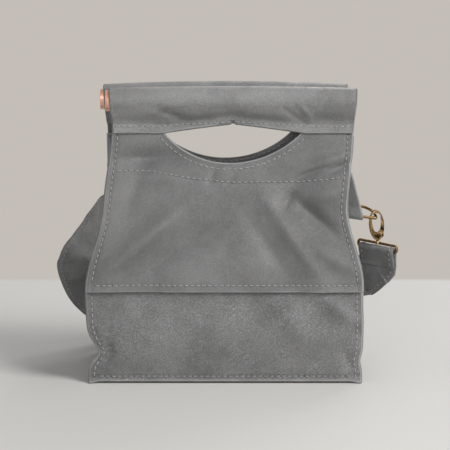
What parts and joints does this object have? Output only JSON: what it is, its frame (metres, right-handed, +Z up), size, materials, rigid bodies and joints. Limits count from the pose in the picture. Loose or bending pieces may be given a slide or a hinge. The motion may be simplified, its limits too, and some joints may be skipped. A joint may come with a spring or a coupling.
{
  "type": "lunch bag",
  "caption": "Leather lunch bag cut like a paper bag, with a hand hole under a tube in each lip and a clip-on shoulder strap folded behind it.",
  "frame": {"origin": "middle of the base's underside", "axes": "+Z up out of the mouth, -Y out of the front panel, +X to the viewer's right"},
  "size_m": [0.3094, 0.1924, 0.2485],
  "materials": {
    "smooth_leather": "semi-matte",
    "rough_leather": "matte nubuck",
    "strap_leather": "semi-matte",
    "copper": "satin copper",
    "antique_brass": "antiqued"
  },
  "bodies": {
    "bag": {"base_panel": "rough_leather", "front_lower_panel": "rough_leather", "back_lower_panel": "rough_leather", "left_lower_gusset": "rough_leather", "right_lower_gusset": "rough_leather", "left_upper_gusset": "smooth_leather", "right_upper_gusset": "smooth_leather", "left_tab": "smooth_leather", "right_tab": "smooth_leather", "left_strap_loop": "antique_brass", "right_strap_loop": "antique_brass", "strap": "strap_leather"},
    "front_half": {"front_upper_panel": "smooth_leather", "front_facing": "smooth_leather"},
    "back_half": {"back_upper_panel": "smooth_leather", "back_facing": "smooth_leather"},
    "front_tube": {"front_tube": "copper"},
    "back_tube": {"back_tube": "copper"},
    "left_ring": {"left_ring": "antique_brass"},
    "right_ring": {"right_ring": "antique_brass"},
    "left_hook": {"left_hook_body": "antique_brass", "left_hook_rivet": "antique_brass"},
    "right_hook": {"right_hook_body": "antique_brass", "right_hook_rivet": "antique_brass"},
    "left_gate": {"left_hook_gate": "antique_brass"},
    "right_gate": {"right_hook_gate": "antique_brass"}
  },
  "joints": [
    {"name": "front_mouth", "type": "hinge", "parent": "bag", "child": "front_half", "pos_m": [0, -0.0586, 0.079], "axis": [1, 0, 0], "range_deg": [0, 12]},
    {"name": "back_mouth", "type": "hinge", "parent": "bag", "child": "back_half", "pos_m": [0, 0.0586, 0.079], "axis": [-1, 0, 0], "range_deg": [0, 12]},
    {"name": "front_tube_slide", "type": "slide", "parent": "front_half", "child": "front_tube", "axis": [1, 0, 0], "range_m": [-0.19, 0.19]},
    {"name": "back_tube_slide", "type": "slide", "parent": "back_half", "child": "back_tube", "axis": [1, 0, 0], "range_m": [-0.19, 0.19]},
    {"name": "left_ring_swing", "type": "hinge", "parent": "bag", "child": "left_ring", "pos_m": [-0.0997, 0.00655, 0.18], "axis": [0, 1, 0], "range_deg": [0, 15]},
    {"name": "right_ring_swing", "type": "hinge", "parent": "bag", "child": "right_ring", "pos_m": [0.11719, 0.0364, 0.1312], "axis": [-0.9903, 0, 0.1392], "range_deg": [0, 15]},
    {"name": "left_hook_swivel", "type": "hinge", "parent": "bag", "child": "left_hook", "pos_m": [-0.0957, -0.013, 0.17332], "axis": [0, 0, 1], "range_deg": [-6, 3]},
    {"name": "right_hook_swivel", "type": "hinge", "parent": "bag", "child": "right_hook", "pos_m": [0.13735, 0.0404, 0.1218], "axis": [-0.0698, 0, 0.9976], "range_deg": [-6, 3]},
    {"name": "left_gate_hinge", "type": "hinge", "parent": "left_hook", "child": "left_gate", "pos_m": [-0.0957, -0.0159, 0.16442], "axis": [-1, 0, 0], "range_deg": [0, 20], "stiffness_Nm_per_rad": 0.05, "springref_deg": -17.19},
    {"name": "right_gate_hinge", "type": "hinge", "parent": "right_hook", "child": "right_gate", "pos_m": [0.14087, 0.0404, 0.11312], "axis": [0, -1, 0], "range_deg": [0, 20], "stiffness_Nm_per_rad": 0.05, "springref_deg": -17.19}
  ]
}
